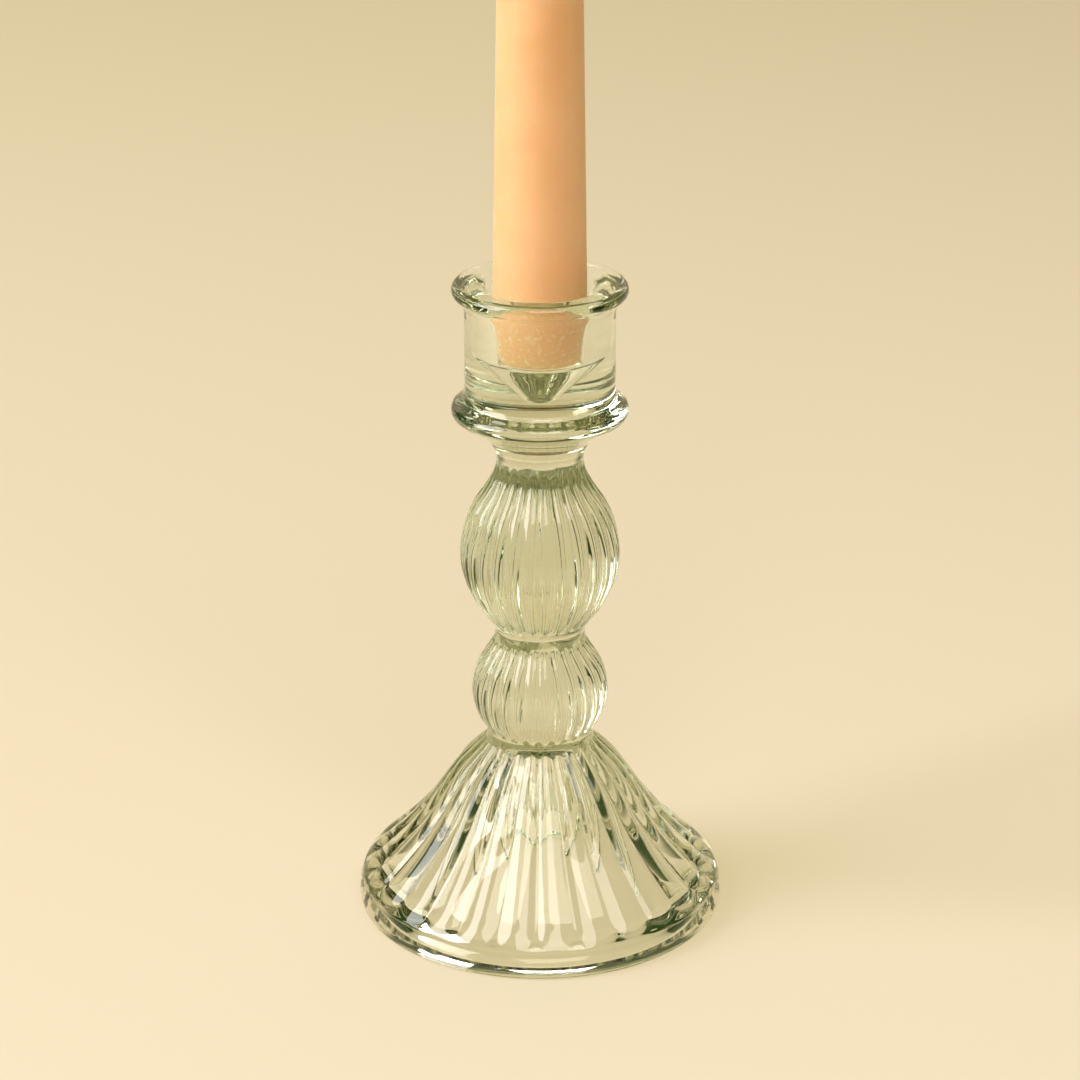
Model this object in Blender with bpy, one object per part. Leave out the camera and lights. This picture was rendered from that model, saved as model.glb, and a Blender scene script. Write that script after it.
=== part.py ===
"""Glass candlestick with a ribbed hollow foot, two ribbed knops, a drip ring and a loose taper candle.

Metres, +Z up.  The origin is the centre of the face that the foot rests on, and Z is the axis that
every piece is turned about.  Sizes in this file are in millimetres until a mesh is built.
"""

import math

import bmesh
import bpy

MM = 0.001

# Clearance that neighbouring pieces keep.
GAP = 0.3

# The same ribs run down both knops and the foot, one groove in line with the next.
RIBS = 27
RIBBED_SEGMENTS = 3 * RIBS
PLAIN_SEGMENTS = 48
RIB_TURN = math.radians(2.0)
KNOP_RIB_DEPTH = 0.045
FOOT_RIB_DEPTH = 0.045

# Foot.
FOOT_RADIUS = 45.5
FOOT_REST_RADIUS = 44.6
FOOT_BAND_TOP = 7.6
FOOT_TOP = 44.0
HOLLOW_RADIUS = 36.8
HOLLOW_TOP = 41.2

# Stem, from the foot up.
COLLAR_RADIUS = 13.0
COLLAR_TOP = 47.2
LOWER_KNOP_RADIUS = 16.75
LOWER_KNOP_TOP = 71.7
WAIST_RADIUS = 11.0
WAIST_TOP = 75.2
UPPER_KNOP_RADIUS = 19.4
UPPER_KNOP_TOP = 117.5
NECK_RADIUS = 10.45
NECK_TOP = 122.8

# Candle cup.
CUP_RADIUS = 18.0
CUP_FLOOR = 143.7
CUP_WALL_TOP = 155.2
CUP_TOP = 162.0
SOCKET_FLOOR_RADIUS = 10.45
SOCKET_NECK_RADIUS = 11.35
SOCKET_MOUTH_RADIUS = 16.9
WELL_TIP_RADIUS = 2.2
WELL_BOTTOM = 134.0
LIP_BEAD = 1.8
LIP_RADIUS = 21.0

# Drip ring: a round bead laid around the bottom of the cup.
RING_BOTTOM = 128.25
RING_TOP = 134.7
RING_BEAD = 2.2
RING_RADIUS = 21.25

# Taper candle and its wick.
CANDLE_BOTTOM = CUP_FLOOR + GAP
CANDLE_LENGTH = 250.0
CANDLE_RADIUS = 11.1
CANDLE_BUTT_RADIUS = 10.1
CANDLE_BUTT_HEIGHT = 21.0
CANDLE_TOP_RADIUS = 7.5
WICK_RADIUS = 1.0
WICK_HOLE_DEPTH = 8.0
WICK_LENGTH = 18.0


def smooth_curve(stations, steps):
    """Return a Catmull-Rom curve through (radius, height) stations, with steps points per span."""
    first = tuple(2 * a - b for a, b in zip(stations[0], stations[1]))
    last = tuple(2 * a - b for a, b in zip(stations[-1], stations[-2]))
    padded = [first, *stations, last]
    points = []
    for span in zip(padded, padded[1:], padded[2:], padded[3:]):
        for step in range(steps):
            points.append(tuple(catmull_rom(*values, step / steps) for values in zip(*span)))
    points.append(stations[-1])
    return points


def catmull_rom(before, start, end, after, t):
    """Return the value a share t of the way from start to end on a smooth curve."""
    slope = end - before
    bend = 2 * before - 5 * start + 4 * end - after
    twist = 3 * start - before - 3 * end + after
    return start + 0.5 * t * (slope + t * (bend + t * twist))


def arc(center_radius, center_height, bend, start_deg, end_deg, steps):
    """Return points on an arc, 0 degrees pointing away from the axis and 90 degrees up."""
    turns = [math.radians(start_deg + (end_deg - start_deg) * step / steps) for step in range(steps + 1)]
    return [(center_radius + bend * math.cos(turn), center_height + bend * math.sin(turn)) for turn in turns]


def socket_radius(height):
    """Return the radius of the candle socket, which widens evenly from its floor to the top of the wall."""
    rise = (height - CUP_FLOOR) / (CUP_WALL_TOP - CUP_FLOOR)
    return SOCKET_FLOOR_RADIUS + (SOCKET_NECK_RADIUS - SOCKET_FLOOR_RADIUS) * rise


def candle_radius(height):
    """Return the radius of the candle's taper above its butt."""
    butt_top = CANDLE_BOTTOM + CANDLE_BUTT_HEIGHT
    rise = (height - butt_top) / (CANDLE_BOTTOM + CANDLE_LENGTH - butt_top)
    return CANDLE_RADIUS + (CANDLE_TOP_RADIUS - CANDLE_RADIUS) * rise


def rib_drop(angle):
    """Return 0 on the crest of a rib, rising to 1 in the groove between two ribs."""
    across = (angle * RIBS / math.tau) % 1.0 - 0.5
    return (2 * across) ** 2


def make_material(name, colour, roughness):
    """Return a Principled material with its own colour and roughness."""
    material = bpy.data.materials.new(name)
    material.use_nodes = True
    shader = material.node_tree.nodes["Principled BSDF"]
    shader.inputs["Base Color"].default_value = (*colour, 1.0)
    shader.inputs["Roughness"].default_value = roughness
    shader.inputs["Metallic"].default_value = 0.0
    return material


def spin(outline, segments, closed=False, rib_depths=None):
    """Return a bmesh of an outline spun once about Z, with ribs where it has a rib depth.

    An open outline runs from the axis at the top, down the outside, to the axis at the bottom.
    A closed one is the cross-section of a ring.  A rib depth is a share of the radius.
    """
    shape = bmesh.new()
    depth_layer = shape.verts.layers.float.new("rib_depth")
    points = [shape.verts.new((radius * MM, 0.0, height * MM)) for radius, height in outline]
    for point, depth in zip(points, rib_depths or []):
        point[depth_layer] = depth
    pairs = list(zip(points, points[1:]))
    if closed:
        pairs.append((points[-1], points[0]))
    edges = [shape.edges.new(pair) for pair in pairs]
    bmesh.ops.spin(shape, geom=points + edges, cent=(0, 0, 0), axis=(0, 0, 1), dvec=(0, 0, 0),
                   angle=math.tau, steps=segments, use_merge=True, use_duplicate=False)
    bmesh.ops.remove_doubles(shape, verts=shape.verts, dist=0.01 * MM)
    for vertex in shape.verts:
        squeeze = 1.0 - vertex[depth_layer] * rib_drop(math.atan2(vertex.co.y, vertex.co.x))
        vertex.co.x *= squeeze
        vertex.co.y *= squeeze
    bmesh.ops.recalc_face_normals(shape, faces=shape.faces)
    return shape


def add_piece(name, shape, material):
    """Make an object from a bmesh, shade it smooth, and return it."""
    mesh = bpy.data.meshes.new(name)
    shape.to_mesh(mesh)
    shape.free()
    mesh.materials.append(material)
    mesh.shade_smooth()
    mesh.set_sharp_from_angle(angle=math.radians(40))
    piece = bpy.data.objects.new(name, mesh)
    bpy.context.scene.collection.objects.link(piece)
    return piece


def add_plain(name, outline, material, closed=False):
    """Add a plain turned piece."""
    return add_piece(name, spin(outline, PLAIN_SEGMENTS, closed), material)


def add_ribbed(name, outline, rib_depths, material):
    """Add a ribbed turned piece, turned so that its grooves line up with the other ribbed pieces."""
    piece = add_piece(name, spin(outline, RIBBED_SEGMENTS, rib_depths=rib_depths), material)
    piece.rotation_euler.z = RIB_TURN
    return piece


def add_foot(material):
    """Add the bell-shaped foot: ribs down to a plain band, a flat resting ring and a hollow inside."""
    bell = smooth_curve([(13.6, FOOT_TOP), (17.6, 40.0), (21.2, 36.0), (26.2, 28.0), (32.4, 20.0),
                         (38.2, 14.0), (42.8, 9.8)], 2)
    band = [(44.5, FOOT_BAND_TOP), (45.3, 5.2), (FOOT_RADIUS, 3.0), (45.3, 0.9), (FOOT_REST_RADIUS, 0.0)]
    hollow = smooth_curve([(HOLLOW_RADIUS, 0.0), (36.1, 5.6), (30.0, 13.2), (18.5, 26.0),
                           (7.5, 38.2), (0.0, HOLLOW_TOP)], 2)
    outline = [(0.0, FOOT_TOP), *bell, *band, *hollow]
    rib_depths = [0.0] + [FOOT_RIB_DEPTH] * len(bell)
    return add_ribbed("foot", outline, rib_depths, material)


def add_knop(name, side, material):
    """Add a solid ribbed knop from the curve of its side, top to bottom."""
    outline = [(0.0, side[0][1]), *side, (0.0, side[-1][1])]
    return add_ribbed(name, outline, [0.0] + [KNOP_RIB_DEPTH] * len(side), material)


def add_lower_knop(material):
    """Add the small knop above the foot, a ball that draws in to the waist."""
    bottom = COLLAR_TOP + GAP
    side = smooth_curve([(11.25, LOWER_KNOP_TOP), (12.9, 68.0), (15.3, 64.0), (LOWER_KNOP_RADIUS, 57.5),
                         (15.4, 51.0), (13.4, bottom)], 2)
    return add_knop("lower_knop", side, material)


def add_upper_knop(material):
    """Add the tall knop, an egg that draws in to the neck."""
    bottom = WAIST_TOP + GAP
    side = smooth_curve([(10.65, UPPER_KNOP_TOP), (11.8, 113.0), (13.6, 110.0), (17.3, 104.0),
                         (UPPER_KNOP_RADIUS, 94.5), (18.0, 86.0), (15.1, 80.0), (11.9, bottom)], 2)
    return add_knop("upper_knop", side, material)


def add_collar(name, side, material):
    """Add a plain disc of glass between two ribbed pieces."""
    return add_plain(name, [(0.0, side[0][1]), *side, (0.0, side[-1][1])], material)


def add_collars(material):
    """Add the three plain collars: above the foot, at the waist and at the neck."""
    foot_side = [(13.2, COLLAR_TOP), (COLLAR_RADIUS, 46.0), (13.3, FOOT_TOP + GAP)]
    add_collar("foot_collar", foot_side, material)
    waist_side = [(11.5, WAIST_TOP), (WAIST_RADIUS, 73.6), (11.1, LOWER_KNOP_TOP + GAP)]
    add_collar("waist_collar", waist_side, material)
    neck_side = smooth_curve([(12.2, NECK_TOP), (11.1, 120.0), (NECK_RADIUS, UPPER_KNOP_TOP + GAP)], 2)
    add_collar("neck_collar", neck_side, material)


def add_cup_base(material):
    """Add the solid base of the cup, with the well that is left below the candle."""
    seat = CUP_RADIUS - GAP
    top = CUP_FLOOR - GAP
    flare = smooth_curve([(seat, RING_BOTTOM + 0.2), (16.2, 126.0), (12.4, NECK_TOP + GAP)], 2)
    well_edge = (socket_radius(CUP_FLOOR), top)
    well_tip = (WELL_TIP_RADIUS, WELL_BOTTOM + 0.4)
    outline = [(0.0, WELL_BOTTOM), well_tip, well_edge, (seat, top), *flare, (0.0, NECK_TOP + GAP)]
    add_plain("cup_base", outline, material)


def add_cup_wall(material):
    """Add the straight wall of the cup, with the socket for the candle inside it."""
    low = CUP_FLOOR
    high = CUP_WALL_TOP
    outline = [(socket_radius(high), high), (CUP_RADIUS, high), (CUP_RADIUS, low), (socket_radius(low), low)]
    add_plain("cup_wall", outline, material, closed=True)


def add_cup_lip(material):
    """Add the lip of the cup: the socket flares out to a wide rim with a round bead at its edge."""
    low = CUP_WALL_TOP + GAP
    flare = smooth_curve([(socket_radius(low), low), (11.8, 158.0), (12.9, 160.2), (14.9, 161.5),
                          (SOCKET_MOUTH_RADIUS, CUP_TOP)], 2)
    bead = arc(LIP_RADIUS - LIP_BEAD, CUP_TOP - LIP_BEAD, LIP_BEAD, 90, -60, 6)
    outline = [*flare, *bead, (18.8, 157.0), (CUP_RADIUS, low)]
    add_plain("cup_lip", outline, material, closed=True)


def add_drip_ring(material):
    """Add the drip ring, a round bead that slopes up to the wall of the cup."""
    inner = CUP_RADIUS
    bead = arc(RING_RADIUS - RING_BEAD, RING_BOTTOM + RING_BEAD, RING_BEAD, 45, -90, 6)
    outline = [(inner, RING_TOP), (18.9, 134.0), (19.9, 133.0), *bead, (inner, RING_BOTTOM)]
    add_plain("drip_ring", outline, material, closed=True)


def add_candle(material):
    """Add the taper candle, with a pared butt that sits in the socket and a hole for its wick."""
    top = CANDLE_BOTTOM + CANDLE_LENGTH
    butt = [(CANDLE_RADIUS, CANDLE_BOTTOM + CANDLE_BUTT_HEIGHT), (11.0, 158.0), (10.7, 152.0),
            (CANDLE_BUTT_RADIUS, CANDLE_BOTTOM + 1.5), (9.2, CANDLE_BOTTOM)]
    shoulder = [(2.0, top), (4.6, top - 1.2), (6.6, top - 4.5), (candle_radius(top - 10.0), top - 10.0)]
    waist = (candle_radius(280.0), 280.0)
    hole = WICK_RADIUS + GAP
    outline = [(0.0, top - WICK_HOLE_DEPTH), (hole, top - WICK_HOLE_DEPTH), (hole, top), *shoulder,
               waist, *butt, (0.0, CANDLE_BOTTOM)]
    add_plain("candle", outline, material)


def add_wick(material):
    """Add the unlit wick, which stands in the hole at the top of the candle."""
    foot = CANDLE_BOTTOM + CANDLE_LENGTH - WICK_HOLE_DEPTH + GAP
    tip = foot + WICK_LENGTH
    outline = [(0.0, tip), (0.7 * WICK_RADIUS, tip), (WICK_RADIUS, tip - 0.5), (WICK_RADIUS, foot), (0.0, foot)]
    add_piece("wick", spin(outline, 12), material)


def main():
    """Clear the scene and build every piece."""
    for old in list(bpy.data.objects):
        bpy.data.objects.remove(old)
    glass = make_material("pale_green_glass", (0.80, 0.86, 0.72), 0.02)
    wax = make_material("peach_wax", (0.88, 0.60, 0.38), 0.45)
    cotton = make_material("wick_cotton", (0.90, 0.87, 0.78), 0.90)
    add_foot(glass)
    add_lower_knop(glass)
    add_upper_knop(glass)
    add_collars(glass)
    add_cup_base(glass)
    add_cup_wall(glass)
    add_cup_lip(glass)
    add_drip_ring(glass)
    add_candle(wax)
    add_wick(cotton)


main()
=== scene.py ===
"""Finishes a pressed-glass candlestick: fused ribbed glass, a wax taper candle and its braided wick.

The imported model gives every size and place.  The glass is one seamless turned surface, because the
real one is fused; the candle and its wick ride on the body that lifts out of the socket.
"""

from __future__ import annotations

import logging
import math
from dataclasses import dataclass
from enum import Enum
from typing import Any, Sequence

import bpy
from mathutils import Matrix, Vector, noise


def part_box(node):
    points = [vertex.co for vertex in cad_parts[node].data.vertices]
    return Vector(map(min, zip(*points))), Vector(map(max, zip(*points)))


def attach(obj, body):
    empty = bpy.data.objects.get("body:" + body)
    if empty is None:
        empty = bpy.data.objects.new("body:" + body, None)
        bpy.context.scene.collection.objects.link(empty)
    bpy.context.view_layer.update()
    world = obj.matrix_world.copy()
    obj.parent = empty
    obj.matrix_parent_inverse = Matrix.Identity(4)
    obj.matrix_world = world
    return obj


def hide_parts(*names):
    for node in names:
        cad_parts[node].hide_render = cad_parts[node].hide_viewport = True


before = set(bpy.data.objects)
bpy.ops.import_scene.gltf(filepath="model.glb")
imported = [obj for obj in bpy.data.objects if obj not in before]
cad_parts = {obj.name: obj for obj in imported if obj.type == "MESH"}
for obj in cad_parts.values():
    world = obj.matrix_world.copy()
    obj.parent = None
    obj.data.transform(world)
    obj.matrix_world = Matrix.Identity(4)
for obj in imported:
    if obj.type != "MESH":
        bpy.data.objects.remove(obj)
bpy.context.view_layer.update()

MM = 0.001
log = logging.getLogger("candlestick")

Point = tuple[float, float]
Line = tuple[Point, ...]
Colour = tuple[float, float, float]


class Body(Enum):
    """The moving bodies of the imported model."""

    HOLDER = "holder"
    TAPER = "taper"


class Slot(Enum):
    """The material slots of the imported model."""

    GLASS = "green_glass"
    WAX = "peach_wax"
    COTTON = "wick_cotton"


# --------------------------------------------------------------------------------------------------
# Shader maths and nodes
# --------------------------------------------------------------------------------------------------


class Signal:
    """A shader socket that takes part in Python arithmetic."""

    def __init__(self, painter: Painter, socket: bpy.types.NodeSocket) -> None:
        """Wrap a socket of the painter's node tree."""
        self.painter = painter
        self.socket = socket

    def maths(self, operation: str, *values: Any) -> Signal:
        """Add a Math node.

        Args:
            operation: the Math node's operation.
            values: its inputs, each a number or a Signal.

        Returns:
            The node's result.
        """
        made = self.painter.node("ShaderNodeMath", {"operation": operation}, dict(enumerate(values)))
        return Signal(self.painter, made.outputs[0])

    def __add__(self, other: Any) -> Signal:
        """Return self + other."""
        return self.maths("ADD", self, other)

    __radd__ = __add__

    def __sub__(self, other: Any) -> Signal:
        """Return self - other."""
        return self.maths("SUBTRACT", self, other)

    def __rsub__(self, other: Any) -> Signal:
        """Return other - self."""
        return self.maths("SUBTRACT", other, self)

    def __mul__(self, other: Any) -> Signal:
        """Return self * other."""
        return self.maths("MULTIPLY", self, other)

    __rmul__ = __mul__

    def larger(self, other: Any) -> Signal:
        """Return the larger of self and other."""
        return self.maths("MAXIMUM", self, other)

    def __abs__(self) -> Signal:
        """Return self without its sign."""
        return self.maths("ABSOLUTE", self)

    def fade(self, low: float, high: float) -> Signal:
        """Add a smooth rise.

        Args:
            low: the value at which it leaves 0.
            high: the value at which it reaches 1.

        Returns:
            The rise.
        """
        made = self.painter.node(
            "ShaderNodeMapRange",
            {"interpolation_type": "SMOOTHSTEP"},
            {"Value": self, "From Min": low, "From Max": high},
        )
        return Signal(self.painter, made.outputs[0])


class Painter:
    """Builds one node tree."""

    def __init__(self, tree: bpy.types.NodeTree) -> None:
        """Start with an empty node tree."""
        self.tree = tree
        self.tree.nodes.clear()

    def node(self, kind: str, settings: dict[str, Any], inputs: dict[Any, Any]) -> bpy.types.Node:
        """Add a node.

        Args:
            kind: the node's type.
            settings: its properties, set first.
            inputs: socket name or number to a value, a Signal or another node's socket.

        Returns:
            The node.
        """
        made = self.tree.nodes.new(kind)
        for key, value in settings.items():
            setattr(made, key, value)
        for key, value in inputs.items():
            if isinstance(value, Signal):
                self.tree.links.new(value.socket, made.inputs[key])
            elif isinstance(value, bpy.types.NodeSocket):
                self.tree.links.new(value, made.inputs[key])
            else:
                made.inputs[key].default_value = value
        return made

    def place(self) -> bpy.types.NodeSocket:
        """Return the point on the piece, in metres from its own origin."""
        return self.node("ShaderNodeTexCoord", {}, {}).outputs["Object"]

    def height(self) -> Signal:
        """Return the height of the point on the piece, in metres."""
        split = self.node("ShaderNodeSeparateXYZ", {}, {0: self.place()})
        return Signal(self, split.outputs["Z"])

    def stretched(self, scale: tuple[float, float, float]) -> bpy.types.NodeSocket:
        """Return the point on the piece, scaled along each axis."""
        made = self.node("ShaderNodeMapping", {}, {"Vector": self.place(), "Scale": scale})
        return made.outputs[0]

    def noise(self, scale: float, detail: float, vector: bpy.types.NodeSocket | None = None) -> Signal:
        """Add a noise texture.

        Args:
            scale: its frequency, per metre.
            detail: its number of octaves.
            vector: the point it is read at, or None for the point on the piece.

        Returns:
            The noise, from 0 to 1.
        """
        inputs = {"Vector": vector or self.place(), "Scale": scale, "Detail": detail}
        made = self.node("ShaderNodeTexNoise", {}, inputs)
        return Signal(self, made.outputs[0])

    def mix(self, share: Signal, first: Any, second: Any) -> bpy.types.NodeSocket:
        """Mix two colours.

        Args:
            share: how much of the second colour there is.
            first: a colour, or a socket that gives one.
            second: the other colour or socket.

        Returns:
            The mixed colour.
        """
        colours = [(*c, 1.0) if isinstance(c, tuple) else c for c in (first, second)]
        made = self.node(
            "ShaderNodeMix",
            {"data_type": "RGBA"},
            {"Factor": share, 6: colours[0], 7: colours[1]},
        )
        return made.outputs[2]

    def bump(self, height: Signal, distance: float) -> bpy.types.NodeSocket:
        """Return a normal that is bent by a height, given as a share of a distance in metres."""
        return self.node("ShaderNodeBump", {}, {"Height": height, "Distance": distance}).outputs[0]


class MaterialPainter(Painter):
    """Builds the node tree of one material."""

    def __init__(self, name: str) -> None:
        """Start a material.

        Args:
            name: the material's name.
        """
        self.material = bpy.data.materials.new(name)
        self.material.use_nodes = True
        super().__init__(self.material.node_tree)

    def finish(self, surface: bpy.types.Node, volume: bpy.types.Node | None = None) -> bpy.types.Material:
        """Join the shaders to the output.

        Args:
            surface: the surface shader.
            volume: the volume shader, if the material has one.

        Returns:
            The finished material.
        """
        inputs = {"Surface": surface.outputs[0]}
        if volume:
            inputs["Volume"] = volume.outputs[0]
        self.node("ShaderNodeOutputMaterial", {}, inputs)
        return self.material


# --------------------------------------------------------------------------------------------------
# Finishes
# --------------------------------------------------------------------------------------------------


@dataclass(frozen=True)
class PressedGlass:
    """Fire-polished glass with a pale green tint and the faint waves that a press mould leaves."""

    ior: float = 1.52
    body: Colour = (0.985, 0.99, 0.955)
    tint: Colour = (0.41, 0.49, 0.05)
    tint_density: float = 11.5
    lamp_tint: Colour = (0.91, 0.905, 0.86)
    wave_length: float = 14 * MM
    wave_height: float = 0.02 * MM

    def material(self) -> bpy.types.Material:
        """Make glass that also lets the light of the lamps through to the table.

        Returns:
            The glass.
        """
        painter = MaterialPainter("pressed_green_glass")
        waves = painter.noise(1.0 / self.wave_length, 1.0)
        surface = painter.node(
            "ShaderNodeBsdfPrincipled",
            {},
            {
                "Base Color": (*self.body, 1.0),
                "Roughness": 0.0,
                "IOR": self.ior,
                "Transmission Weight": 1.0,
                "Normal": painter.bump(waves, self.wave_height),
            },
        )
        volume = painter.node(
            "ShaderNodeVolumeAbsorption",
            {},
            {"Color": (*self.tint, 1.0), "Density": self.tint_density},
        )
        clear = painter.node("ShaderNodeBsdfTransparent", {}, {"Color": (*self.lamp_tint, 1.0)})
        path = painter.node("ShaderNodeLightPath", {}, {})
        lamp_ray = Signal(painter, path.outputs["Is Shadow Ray"])
        soft_ray = Signal(painter, path.outputs["Is Diffuse Ray"])
        both = painter.node(
            "ShaderNodeMixShader",
            {},
            {0: lamp_ray.larger(soft_ray), 1: surface.outputs[0], 2: clear.outputs[0]},
        )
        return painter.finish(both, volume)


@dataclass(frozen=True)
class CandleWax:
    """Satin peach wax, with faint drawn streaks and a butt that is scuffed where it was pushed home."""

    butt_top: float
    scuff_fade: tuple[float, float] = (-9 * MM, 1 * MM)
    fresh: Colour = (0.86, 0.55, 0.30)
    deep: Colour = (0.78, 0.46, 0.20)
    scuffed: Colour = (0.95, 0.78, 0.56)
    cloud_scale: float = 55.0
    streak_scale: tuple[float, float, float] = (900.0, 900.0, 18.0)
    grain_scale: float = 1400.0
    fleck_scale: float = 1100.0
    roughness: float = 0.48
    ior: float = 1.44
    glow_spread: tuple[float, float, float] = (1.0, 0.50, 0.22)
    glow_depth: float = 12 * MM
    relief: float = 0.06 * MM

    def material(self) -> bpy.types.Material:
        """Make the wax.

        Returns:
            The wax.
        """
        painter = MaterialPainter("peach_candle_wax")
        cloud = painter.noise(self.cloud_scale, 3.0).fade(0.35, 0.70)
        streaks = painter.noise(1.0, 3.0, painter.stretched(self.streak_scale))
        grain = painter.noise(self.grain_scale, 4.0)
        low = 1.0 - painter.height().fade(*(self.butt_top + edge for edge in self.scuff_fade))
        flecks = painter.noise(self.fleck_scale, 6.0).fade(0.50, 0.72) * low
        colour = painter.mix(cloud * 0.6 + streaks * 0.2, self.fresh, self.deep)
        surface = painter.node(
            "ShaderNodeBsdfPrincipled",
            {},
            {
                "Base Color": painter.mix(flecks * 0.75, colour, self.scuffed),
                "Roughness": self.roughness + 0.10 * grain + 0.14 * low,
                "IOR": self.ior,
                "Subsurface Weight": 1.0,
                "Subsurface Radius": self.glow_spread,
                "Subsurface Scale": self.glow_depth,
                "Normal": painter.bump(streaks * 0.5 + grain * 0.35 + flecks * 0.4, self.relief),
            },
        )
        return painter.finish(surface)


@dataclass(frozen=True)
class WickCotton:
    """Unlit braided cotton with a little wax soaked into it."""

    clean: Colour = (0.86, 0.81, 0.70)
    waxed: Colour = (0.80, 0.62, 0.44)
    fibre_scale: tuple[float, float, float] = (9000.0, 9000.0, 1600.0)
    soak_scale: float = 420.0
    roughness: float = 0.72
    sheen: float = 0.25
    relief: float = 0.04 * MM

    def material(self) -> bpy.types.Material:
        """Make the cotton.

        Returns:
            The cotton.
        """
        painter = MaterialPainter("waxed_wick_cotton")
        fibres = painter.noise(1.0, 4.0, painter.stretched(self.fibre_scale))
        surface = painter.node(
            "ShaderNodeBsdfPrincipled",
            {},
            {
                "Base Color": painter.mix(painter.noise(self.soak_scale, 2.0), self.clean, self.waxed),
                "Roughness": self.roughness + 0.2 * fibres,
                "Sheen Weight": self.sheen,
                "Normal": painter.bump(fibres, self.relief),
            },
        )
        return painter.finish(surface)


@dataclass(frozen=True)
class PaleTable:
    """The plain matt table top, with painted shade that makes it darker and deeper in colour towards the
    back.
    """

    near: Colour = (0.88, 0.75, 0.57)
    # far: the near colour darkened by painted shade, standing in for the light falling off towards the back
    far: Colour = (0.83, 0.685, 0.45)
    fade: tuple[float, float] = (-0.5, 1.3)
    roughness: float = 0.75
    specular: float = 0.2

    def material(self) -> bpy.types.Material:
        """Make the table top.

        Returns:
            The table top.
        """
        painter = MaterialPainter("pale_table")
        split = painter.node("ShaderNodeSeparateXYZ", {}, {0: painter.place()})
        # painted shade: the colour fades from near to far towards the back of the table
        back = Signal(painter, split.outputs["Y"]).fade(*self.fade)
        surface = painter.node(
            "ShaderNodeBsdfPrincipled",
            {},
            {
                "Base Color": painter.mix(back, self.near, self.far),
                "Roughness": self.roughness,
                "Specular IOR Level": self.specular,
            },
        )
        return painter.finish(surface)


# --------------------------------------------------------------------------------------------------
# Turned surfaces
# --------------------------------------------------------------------------------------------------


@dataclass(frozen=True)
class Ring:
    """One ring of a turned surface, with the depth of its ribs and the plain core inside them."""

    radius: float
    height: float
    rib_depth: float = 0.0
    core: float = 0.0
    blend: float = 0.04 * MM

    def reach(self, drop: float) -> float:
        """Find the radius where a rib is cut away, which stays outside the core.

        Args:
            drop: the share of the rib depth that is cut away.

        Returns:
            The radius.
        """
        cut = self.radius - self.rib_depth * drop
        if self.core == 0.0:
            return cut
        clear = cut - self.core
        return self.core + 0.5 * (clear + math.hypot(clear, self.blend))


@dataclass(frozen=True)
class Span:
    """The place that a turned CAD node takes up: its outer radius, and its lowest and highest points."""

    radius: float
    low: float
    high: float

    @classmethod
    def of(cls, node: str) -> Span:
        """Return the span of a CAD node."""
        lowest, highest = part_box(node)
        return cls(max(highest.x, highest.y), lowest.z, highest.z)

    def up(self, line: Line) -> list[Point]:
        """Return points given in millimetres, as radius and height above the lowest point."""
        return [(radius * MM, self.low + height * MM) for radius, height in line]

    def down(self, line: Line) -> list[Point]:
        """Return points given in millimetres, as radius and depth below the highest point."""
        return [(radius * MM, self.high - depth * MM) for radius, depth in line]


@dataclass(frozen=True)
class Ribs:
    """Round ribs that meet in narrow grooves, all the way around a turned piece."""

    count: int = 27
    turn: float = math.radians(2.0)
    groove: float = 0.06
    facets: int = 14

    def drop(self, angle: float) -> float:
        """Return 0 on the crest of a rib, rising to nearly 1 at the bottom of a groove.

        Args:
            angle: the direction from the axis, in radians.

        Returns:
            How much of the rib depth is cut away.
        """
        across = abs(2.0 * (((angle - self.turn) * self.count / math.tau) % 1.0) - 1.0)
        if across < 1.0 - self.groove:
            return across**2
        return (1.0 - self.groove) * (1.0 - (1.0 - across) ** 2 / self.groove)


def smooth_line(points: Sequence[Point], steps: int) -> list[Point]:
    """Draw a Catmull-Rom curve through points.

    Args:
        points: the points that the curve goes through.
        steps: how many points each span is given.

    Returns:
        The curve's points, both ends among them.
    """
    first = tuple(2 * a - b for a, b in zip(points[0], points[1]))
    last = tuple(2 * a - b for a, b in zip(points[-1], points[-2]))
    padded = [first, *points, last]
    line = []
    for span in zip(padded, padded[1:], padded[2:], padded[3:]):
        for step in range(steps):
            line.append(tuple(between(*values, step / steps) for values in zip(*span)))
    line.append(tuple(points[-1]))
    return line


def between(before: float, start: float, end: float, after: float, share: float) -> float:
    """Find a value on the smooth curve through four evenly spaced values.

    Args:
        before: the first value.
        start: the second value.
        end: the third value.
        after: the fourth value.
        share: how far it is from start to end, from 0 to 1.

    Returns:
        The value.
    """
    slope = end - before
    bend = 2 * before - 5 * start + 4 * end - after
    twist = 3 * start - before - 3 * end + after
    return start + 0.5 * share * (slope + share * (bend + share * twist))


def bead(center: Point, bend: float, start: float, end: float, steps: int) -> list[Point]:
    """Draw an arc.

    Args:
        center: the arc's centre, as radius and height.
        bend: the arc's own radius.
        start: the direction of its first point, in degrees, 0 away from the axis and 90 up.
        end: the direction of its last point.
        steps: the number of spans.

    Returns:
        The arc's points.
    """
    turns = [math.radians(start + (end - start) * step / steps) for step in range(steps + 1)]
    return [(center[0] + bend * math.cos(turn), center[1] + bend * math.sin(turn)) for turn in turns]


def plain(points: Sequence[Point]) -> list[Ring]:
    """Return rings without ribs."""
    return [Ring(*point) for point in points]


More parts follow.
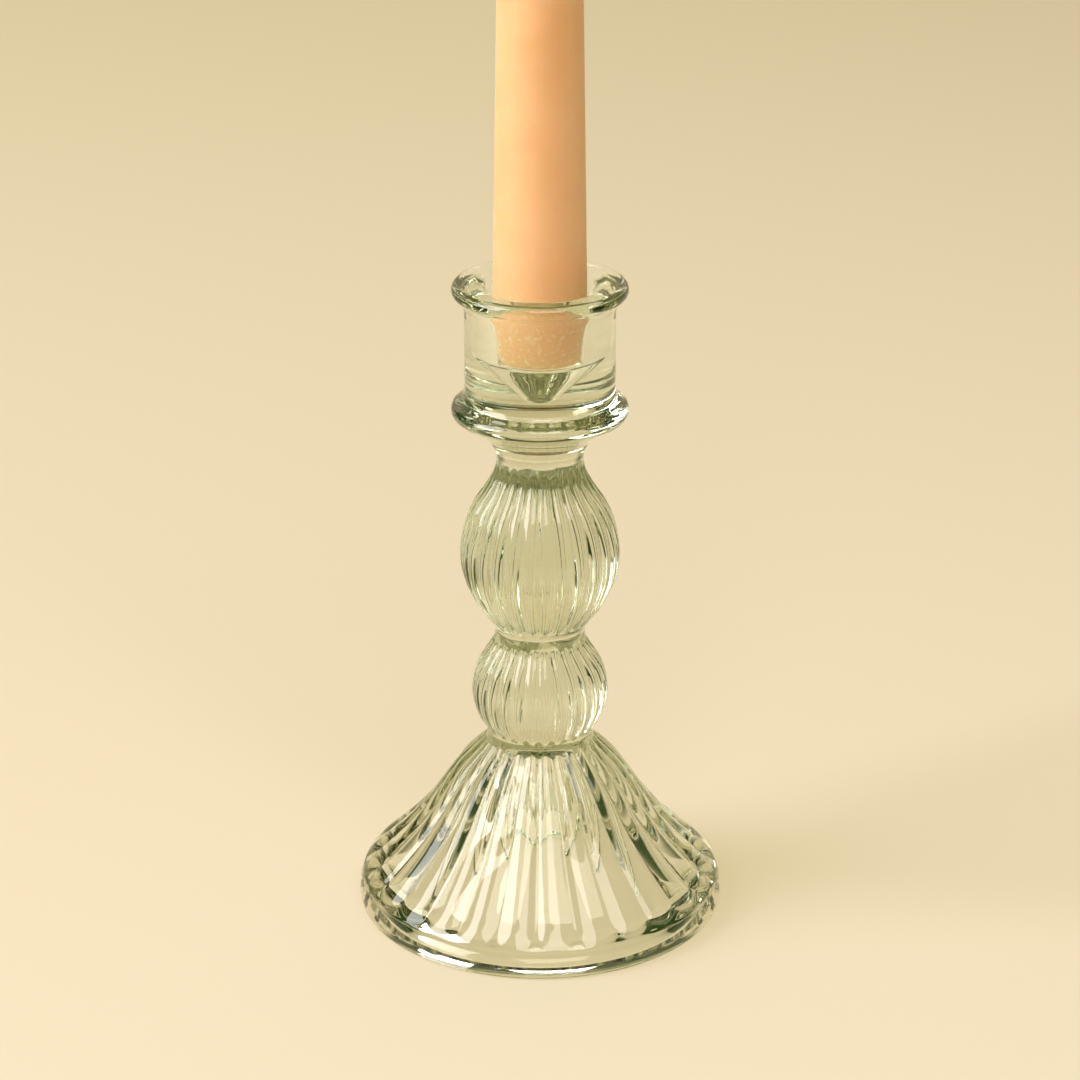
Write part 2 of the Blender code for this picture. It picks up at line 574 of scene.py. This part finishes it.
def ribbed(points: Sequence[Point], depth: float, fade_out: float = 0.0) -> list[Ring]:
    """Return rings with ribs that run out into the plain core at the line's narrow ends.

    Args:
        points: the line down the crests of the ribs.
        depth: the depth of the grooves, as a share of the radius.
        fade_out: the length over which they die away before the line's end; 0 lets them run into the
            core.

    Returns:
        The rings.
    """
    lengths = [math.dist(start, end) for start, end in zip(points, points[1:])]
    half = sum(lengths) / 2
    end_core = 0.0 if fade_out else points[-1][0]
    rings = []
    for step, (radius, height) in enumerate(points):
        left = sum(lengths[step:])
        rise = min(1.0, left / fade_out) if fade_out else 1.0
        core = end_core if left < half else points[0][0]
        rings.append(Ring(radius, height, depth * radius * math.sin(rise * math.pi / 2), core))
    return rings


def turned_mesh(name: str, rings: Sequence[Ring], segments: int, ribs: Ribs | None = None) -> bpy.types.Mesh:
    """Turn rings about the axis into one closed mesh.

    Args:
        name: the mesh's name.
        rings: the rings in order, with the outside on the left of the direction of travel; a ring of
            no radius closes the surface on the axis.
        segments: the number of points around a ring.
        ribs: the ribs that are cut where a ring has a rib depth.

    Returns:
        The mesh.
    """
    vertices: list[tuple[float, float, float]] = []
    starts: list[int] = []
    turn = ribs.turn if ribs else 0.0
    angles = [turn + math.tau * step / segments for step in range(segments)]
    drops = [ribs.drop(angle) if ribs else 0.0 for angle in angles]
    for ring in rings:
        starts.append(len(vertices))
        if ring.radius == 0.0:
            vertices.append((0.0, 0.0, ring.height))
            continue
        for angle, drop in zip(angles, drops):
            radius = ring.reach(drop)
            vertices.append((radius * math.cos(angle), radius * math.sin(angle), ring.height))
    placed = list(zip(rings, starts))
    faces: list[tuple[int, ...]] = []
    for (upper, above), (lower, below) in zip(placed, placed[1:]):
        for step in range(segments):
            after = (step + 1) % segments
            if upper.radius == 0.0:
                faces.append((above, below + step, below + after))
            elif lower.radius == 0.0:
                faces.append((above + step, below, above + after))
            else:
                faces.append((above + step, below + step, below + after, above + after))
    mesh = bpy.data.meshes.new(name)
    mesh.from_pydata(vertices, [], faces)
    mesh.update()
    mesh.shade_smooth()
    return mesh


def add_piece(
    name: str, shape: bpy.types.ID, body: Body, nodes: Sequence[str]
) -> bpy.types.Object:
    """Put a finished piece on its body.

    Args:
        name: the piece's name.
        shape: its mesh or curve, with its material.
        body: the body it moves with.
        nodes: the CAD nodes it stands for.

    Returns:
        The piece.
    """
    piece = bpy.data.objects.new(name, shape)
    bpy.context.scene.collection.objects.link(piece)
    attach(piece, body.value)
    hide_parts(*nodes)
    return piece


# --------------------------------------------------------------------------------------------------
# Glass
# --------------------------------------------------------------------------------------------------


@dataclass(frozen=True)
class CandleCup:
    """The cup: a well and a socket inside, a flared lip, a straight wall and the drip ring.

    Its lines are in millimetres, as radius and height: the well and the underside above the base, the
    socket above the wall, the lip's underside above the lip, and the shoulder above the drip ring.
    """

    lip: Span
    wall: Span
    base: Span
    drip: Span
    well_tip: Line = ((0.0, 10.7), (0.7, 10.75), (1.9, 11.2), (3.0, 12.05))
    well_side: Line = ((4.7, 14.5),)
    socket_edge: Line = ((10.0, -0.4), (10.3, 0.0), (10.5, 0.6))
    socket_bore: Line = ((10.8, 5.3), (11.25, 10.8), (11.75, 14.1), (12.9, 16.5), (14.9, 17.85))
    mouth_radius: float = 16.9 * MM
    lip_bead: float = 1.8 * MM
    lip_arc: tuple[float, float] = (100.0, -72.0)
    lip_underside: Line = ((19.0, 2.3), (18.3, 1.1))
    lip_join: float = 0.4 * MM
    shoulder: Line = ((18.15, 6.35), (18.6, 5.45), (19.3, 4.8))
    shoulder_join: float = 0.6 * MM
    ring_bead: float = 2.2 * MM
    ring_arc: tuple[float, float] = (68.0, -95.0)
    base_underside: Line = ((17.3, 4.4), (14.6, 2.1), (12.4, 0.0))

    @classmethod
    def from_frame(cls) -> CandleCup:
        """Return the cup at the sizes of its CAD nodes."""
        return cls(Span.of("cup_lip"), Span.of("cup_wall"), Span.of("cup_base"), Span.of("drip_ring"))

    def inside(self) -> list[Ring]:
        """Line the cup, from the bottom of the well up to the mouth of the socket.

        Returns:
            The rings.
        """
        tip = self.base.up(self.well_tip)
        edge = self.wall.up(self.socket_edge)
        side = [tip[-1], *self.base.up(self.well_side), edge[0]]
        bore = [edge[-1], *self.wall.up(self.socket_bore), (self.mouth_radius, self.lip.high)]
        well = [*smooth_line(tip, 4), *smooth_line(side, 6)[1:]]
        return plain([*well, *smooth_line(edge, 3)[1:], *smooth_line(bore, 6)[1:]])

    def wall_top(self) -> Point:
        """Return the top of the straight wall, just under the lip."""
        return (self.wall.radius, self.lip.low - self.lip_join)

    def rim(self) -> list[Ring]:
        """Roll the lip over, from the mouth of the socket to the top of the wall.

        Returns:
            The rings.
        """
        center = (self.lip.radius - self.lip_bead, self.lip.high - self.lip_bead)
        roll = bead(center, self.lip_bead, *self.lip_arc, 20)
        under = [roll[-1], *self.lip.up(self.lip_underside), self.wall_top()]
        return plain([*roll, *smooth_line(under, 5)[1:]])

    def drip_line(self) -> list[Point]:
        """Return the line around the drip ring."""
        center = (self.drip.radius - self.ring_bead, self.drip.low + self.ring_bead)
        return bead(center, self.ring_bead, *self.ring_arc, 18)

    def outside(self) -> list[Ring]:
        """Draw the outside, down the wall and around the drip ring to the top of the neck.

        Returns:
            The rings.
        """
        ring = self.drip_line()
        wall = [self.wall_top(), (self.wall.radius, self.drip.high + self.shoulder_join)]
        shoulder = [wall[-1], *self.drip.up(self.shoulder), ring[0]]
        under = [ring[-1], *self.base.up(self.base_underside)]
        line = [*smooth_line(wall, 10)[1:], *smooth_line(shoulder, 6)[1:], *ring[1:]]
        return plain([*line, *smooth_line(under, 5)[1:]])

    def rings(self) -> list[Ring]:
        """Return the whole cup."""
        return [*self.inside(), *self.rim(), *self.outside()]


@dataclass(frozen=True)
class KnopStem:
    """The stem: a plain neck, a tall ribbed knop, a plain waist, a small ribbed knop and a plain collar.

    Its lines run down, in millimetres, as radius and height above the CAD node that each is named for.
    """

    neck: Span
    upper: Span
    waist: Span
    lower: Span
    collar: Span
    neck_line: Line = ((12.2, 5.0), (11.05, 2.6), (10.5, 0.9), (10.44, 0.3))
    upper_line: Line = (
        (10.65, 40.8),
        (11.5, 38.1),
        (13.5, 34.6),
        (16.0, 30.9),
        (18.1, 26.1),
        (19.35, 20.0),
        (19.15, 14.4),
        (17.7, 9.3),
        (15.15, 4.5),
        (12.5, 0.9),
    )
    waist_line: Line = ((11.35, 2.7), (11.0, 1.2), (11.15, -0.4))
    lower_line: Line = (
        (11.7, 22.5),
        (13.6, 19.5),
        (15.6, 15.8),
        (16.7, 11.1),
        (16.45, 6.9),
        (15.3, 3.3),
        (13.5, 0.2),
    )
    collar_line: Line = ((13.0, 1.9), (13.3, 0.3))
    rib_depth: float = 0.045

    @classmethod
    def from_frame(cls) -> KnopStem:
        """Return the stem at the sizes of its CAD nodes."""
        names = ("neck_collar", "upper_knop", "waist_collar", "lower_knop", "foot_collar")
        return cls(*[Span.of(name) for name in names])

    def rings(self) -> list[Ring]:
        """Draw the stem, from the top of the neck down to the foot.

        Returns:
            The rings.
        """
        neck = self.neck.up(self.neck_line)
        upper = [neck[-1], *self.upper.up(self.upper_line)]
        waist = [upper[-1], *self.waist.up(self.waist_line)]
        lower = [waist[-1], *self.lower.up(self.lower_line)]
        collar = [lower[-1], *self.collar.up(self.collar_line)]
        return [
            *plain(smooth_line(neck, 4)),
            *ribbed(smooth_line(upper, 8), self.rib_depth)[1:],
            *plain(smooth_line(waist, 4)[1:]),
            *ribbed(smooth_line(lower, 8), self.rib_depth)[1:],
            *plain(smooth_line(collar, 4)[1:]),
        ]


@dataclass(frozen=True)
class BellFoot:
    """The foot: a ribbed bell, a plain band, a flat resting ring and the hollow under it.

    Its lines are radius and height for a foot of drawn_radius, and are scaled to the CAD node.
    """

    foot: Span
    drawn_radius: float = 45.5
    rib_depth: float = 0.045
    rib_fade: float = 4.5 * MM
    bell: Line = (
        (13.3, 44.6),
        (14.6, 42.9),
        (17.0, 40.5),
        (20.2, 37.0),
        (23.7, 32.0),
        (27.7, 26.0),
        (32.4, 20.0),
        (38.2, 14.0),
        (42.3, 10.2),
        (44.45, 7.6),
    )
    band: Line = ((44.45, 7.6), (45.2, 5.4), (45.45, 3.3), (45.4, 1.5), (45.05, 0.5), (44.3, 0.0))
    inner_edge: Line = ((37.6, 0.0), (36.8, 0.4))
    hollow: Line = (
        (36.8, 0.0),
        (36.6, 3.0),
        (36.1, 5.6),
        (33.9, 8.8),
        (30.0, 13.2),
        (25.0, 18.6),
        (18.5, 26.0),
        (12.5, 33.2),
        (7.5, 38.4),
        (3.5, 40.6),
        (0.0, 41.2),
    )

    @classmethod
    def from_frame(cls) -> BellFoot:
        """Return the foot at the size of its CAD node."""
        return cls(Span.of("foot"))

    def scaled(self, line: Line) -> list[Point]:
        """Return a line at the size of the CAD node."""
        scale = self.foot.radius / self.drawn_radius
        return [(radius * scale, self.foot.low + height * scale) for radius, height in line]

    def rings(self) -> list[Ring]:
        """Draw the foot, from the collar down the outside and up the hollow to the axis.

        Returns:
            The rings.
        """
        return [
            *ribbed(smooth_line(self.scaled(self.bell), 10), self.rib_depth, self.rib_fade)[1:],
            *plain(smooth_line(self.scaled(self.band), 4)[1:]),
            *plain(self.scaled(self.inner_edge)),
            *plain(smooth_line(self.scaled(self.hollow), 8)[1:]),
        ]


@dataclass(frozen=True)
class GlassHolder:
    """The whole glass: cup, stem and foot as one fused surface."""

    cup: CandleCup
    stem: KnopStem
    foot: BellFoot
    glass: PressedGlass = PressedGlass()
    ribs: Ribs = Ribs()
    nodes: tuple[str, ...] = (
        "foot",
        "foot_collar",
        "lower_knop",
        "waist_collar",
        "upper_knop",
        "neck_collar",
        "cup_base",
        "cup_wall",
        "cup_lip",
        "drip_ring",
    )

    @classmethod
    def from_frame(cls) -> GlassHolder:
        """Return the glass at the sizes of its CAD nodes."""
        return cls(CandleCup.from_frame(), KnopStem.from_frame(), BellFoot.from_frame())

    def build(self) -> bpy.types.Object:
        """Build the glass.

        Returns:
            The glass.
        """
        rings = [*self.cup.rings(), *self.stem.rings(), *self.foot.rings()]
        mesh = turned_mesh("fused_glass", rings, self.ribs.count * self.ribs.facets, self.ribs)
        mesh.materials.append(self.glass.material())
        return add_piece("glass_candlestick", mesh, Body.HOLDER, self.nodes)


# --------------------------------------------------------------------------------------------------
# Candle
# --------------------------------------------------------------------------------------------------


@dataclass(frozen=True)
class TaperCandle:
    """The taper candle, with a pared butt and a domed top.

    Its lines are in millimetres, as radius and depth below the top or height above the butt's end.
    """

    span: Span
    top_line: Line = ((0.0, 0.6), (1.3, 0.6), (1.9, 0.1), (3.4, 0.7), (5.2, 2.6), (6.6, 5.6), (7.5, 11.0))
    butt_line: Line = ((11.1, 16.0), (10.8, 9.0), (10.1, 2.0), (9.7, 0.6), (9.0, 0.0))
    butt_height: float = 20 * MM
    segments: int = 96
    wobble: float = 0.004
    wobble_scale: tuple[float, float, float] = (60.0, 60.0, 25.0)

    @classmethod
    def from_frame(cls) -> TaperCandle:
        """Return the candle at the size of its CAD node."""
        return cls(Span.of("candle"))

    def build(self) -> bpy.types.Object:
        """Build the candle.

        Returns:
            The candle.
        """
        butt_top = self.span.low + self.butt_height
        top = self.span.down(self.top_line)
        side = [top[-1], (self.span.radius, butt_top)]
        butt = [side[-1], *self.span.up(self.butt_line)]
        upper = [*smooth_line(top, 5), *smooth_line(side, 40)[1:]]
        points = [*upper, *smooth_line(butt, 8)[1:], (0.0, self.span.low)]
        mesh = turned_mesh("candle_wax", plain(points), self.segments)
        for vertex in mesh.vertices:
            place = Vector([along * scale for along, scale in zip(vertex.co, self.wobble_scale)])
            squeeze = 1.0 - self.wobble * (1.0 + noise.noise(place))
            vertex.co.x *= squeeze
            vertex.co.y *= squeeze
        mesh.materials.append(CandleWax(butt_top).material())
        return add_piece("taper_candle", mesh, Body.TAPER, ("candle",))


@dataclass(frozen=True)
class BraidedWick:
    """Three cotton strands plaited about the candle's axis."""

    span: Span
    strands: int = 3
    strand_radius: float = 0.42 * MM
    plait_radius: float = 0.50 * MM
    plait_flatness: float = 0.7
    pitch: float = 4.2 * MM
    steps: int = 60

    @classmethod
    def from_frame(cls) -> BraidedWick:
        """Return the wick at the size of its CAD node."""
        return cls(Span.of("wick"))

    def strand(self, phase: float) -> list[Vector]:
        """Lay one strand.

        Args:
            phase: where the strand is in the plait, as an angle.

        Returns:
            The strand's points, bottom to top.
        """
        length = self.span.high - self.strand_radius - self.span.low
        points = []
        for step in range(self.steps + 1):
            rise = length * step / self.steps
            turn = math.tau * rise / self.pitch + phase
            across = self.plait_radius * math.sin(turn)
            forward = self.plait_flatness * self.plait_radius * math.sin(2 * turn)
            points.append(Vector((across, forward, self.span.low + rise)))
        return points

    def build(self) -> bpy.types.Object:
        """Build the wick.

        Returns:
            The wick.
        """
        curve = bpy.data.curves.new("wick_plait", "CURVE")
        curve.dimensions = "3D"
        curve.bevel_depth = self.strand_radius
        curve.bevel_resolution = 3
        curve.use_fill_caps = True
        for strand in range(self.strands):
            points = self.strand(math.tau * strand / self.strands)
            spline = curve.splines.new("POLY")
            spline.points.add(len(points) - 1)
            for place, point in zip(spline.points, points):
                place.co = (*point, 1.0)
        curve.materials.append(WickCotton().material())
        return add_piece("braided_wick", curve, Body.TAPER, ("wick",))


# --------------------------------------------------------------------------------------------------
# Studio
# --------------------------------------------------------------------------------------------------


@dataclass(frozen=True)
class SoftLight:
    """A rectangular soft light that faces a target."""

    name: str
    place: tuple[float, float, float]
    target: tuple[float, float, float]
    width: float
    height: float
    power: float
    colour: Colour

    def build(self) -> None:
        """Add the light to the scene."""
        data = bpy.data.lights.new(self.name, "AREA")
        data.shape = "RECTANGLE"
        data.size = self.width
        data.size_y = self.height
        data.energy = self.power
        data.color = self.colour
        light = bpy.data.objects.new(self.name, data)
        light.location = self.place
        light.rotation_euler = (Vector(self.target) - Vector(self.place)).to_track_quat("-Z", "Y").to_euler()
        bpy.context.scene.collection.objects.link(light)


@dataclass(frozen=True)
class Studio:
    """The camera, the table top, the soft lights and the room."""

    camera_back: float = 0.7322
    camera_height: float = 0.396
    camera_tilt: float = math.radians(22.26)
    lens: float = 108.67
    table_width: float = 1.0
    table_front: float = 0.5
    table_back: float = 1.8
    table_drop: float = 0.1 * MM
    floor_size: float = 4.4
    backdrop: Colour = (0.76, 0.62, 0.37)
    room: Colour = (0.03, 0.06, 0.012)
    wall: Colour = (0.86, 0.76, 0.58)
    high_fade: tuple[float, float] = (0.55, 0.75)
    front_fade: tuple[float, float] = (-0.1, 0.4)
    side_fade: tuple[float, float] = (0.6, 0.8)
    bounces: int = 14
    glossy_bounces: int = 6
    window: SoftLight = SoftLight(
        name="window_left",
        place=(-3.1, -0.85, 3.2),
        target=(0.0, 0.0, 3.2),
        width=2.35,
        height=4.6,
        power=265.0,
        colour=(0.96, 0.96, 0.97),
    )
    sky: SoftLight = SoftLight(
        name="sky_front",
        place=(0.5, -2.5, 3.3),
        target=(0.0, 0.0, 0.08),
        width=2.8,
        height=2.2,
        power=92.0,
        colour=(1.0, 0.95, 0.88),
    )

    def build(self) -> None:
        """Set up the studio."""
        self.add_camera()
        self.add_table()
        self.add_room()
        self.window.build()
        self.sky.build()
        paths = bpy.context.scene.cycles
        paths.max_bounces = self.bounces
        paths.glossy_bounces = self.glossy_bounces
        paths.transmission_bounces = self.bounces
        view = bpy.context.scene.view_settings
        view.view_transform = "Standard"
        view.look = "None"

    def add_camera(self) -> None:
        """Add the camera, which looks along +Y and down at the candlestick."""
        data = bpy.data.cameras.new("camera")
        data.lens = self.lens
        data.sensor_width = 36.0
        camera = bpy.data.objects.new("camera", data)
        camera.location = (0.0, -self.camera_back, self.camera_height)
        camera.rotation_euler = (math.pi / 2 - self.camera_tilt, 0.0, 0.0)
        bpy.context.scene.collection.objects.link(camera)
        bpy.context.scene.camera = camera

    def add_table(self) -> None:
        """Add the table top just under the foot, and the wide plain floor that carries it on.

        Only the camera and soft light see the wide floor.  The glass mirrors and bends the table top
        alone, as it would with dark cards around it, which keeps its edges dark.
        """
        half, front, back, far = self.table_width / 2, self.table_front, self.table_back, self.floor_size / 2
        inner = [(-half, -front), (half, -front), (half, back), (-half, back)]
        outer = [(-far, -far), (far, -far), (far, far), (-far, far)]
        sides = [(step, (step + 1) % 4, 4 + (step + 1) % 4, 4 + step) for step in range(4)]
        finish = PaleTable().material()
        table = self.add_plane("table_top", inner, [(0, 1, 2, 3)], finish)
        floor = self.add_plane("wide_floor", outer + inner, sides, finish)
        floor.visible_glossy = False
        floor.visible_transmission = False

    def add_plane(
        self,
        name: str,
        corners: Sequence[Point],
        faces: Sequence[tuple[int, ...]],
        finish: bpy.types.Material,
    ) -> bpy.types.Object:
        """Add a level surface at the height of the table top.

        Args:
            name: the surface's name.
            corners: its corners, as x and y.
            faces: the corners of each face.
            finish: its material.

        Returns:
            The surface.
        """
        mesh = bpy.data.meshes.new(name)
        mesh.from_pydata([(x, y, 0.0) for x, y in corners], [], faces)
        mesh.materials.append(finish)
        plane = bpy.data.objects.new(name, mesh)
        plane.location.z = -self.table_drop
        bpy.context.scene.collection.objects.link(plane)
        return plane

    def add_room(self) -> None:
        """Put a pale wall behind the table for the camera, and a darker room around the glass.

        The glass and the table meet a warm backdrop at the back, and dark green at the sides, in front
        and high up.
        """
        world = bpy.data.worlds.new("room")
        world.use_nodes = True
        painter = Painter(world.node_tree)
        direction = painter.node("ShaderNodeTexCoord", {}, {}).outputs["Generated"]
        split = painter.node("ShaderNodeSeparateXYZ", {}, {0: direction})
        across, back, up = (Signal(painter, split.outputs[axis]) for axis in "XYZ")
        high = up.fade(*self.high_fade)
        front = (0.0 - back).fade(*self.front_fade)
        side = abs(across).fade(*self.side_fade)
        around = painter.mix(high.larger(front.larger(side)), self.backdrop, self.room)
        seen = Signal(painter, painter.node("ShaderNodeLightPath", {}, {}).outputs["Is Camera Ray"])
        colour = painter.mix(seen, around, self.wall)
        glow = painter.node("ShaderNodeBackground", {}, {"Color": colour, "Strength": 1.0})
        painter.node("ShaderNodeOutputWorld", {}, {"Surface": glow.outputs[0]})
        bpy.context.scene.world = world


def main() -> None:
    """Build the studio, the glass, the candle and the wick."""
    logging.basicConfig(level=logging.INFO, format="%(message)s")
    Studio().build()
    for part in (GlassHolder, TaperCandle, BraidedWick):
        piece = part.from_frame().build()
        log.info("%s is in place, dressed in %s", piece.name, piece.data.materials[0].name)


if __name__ == "__main__":
    main()
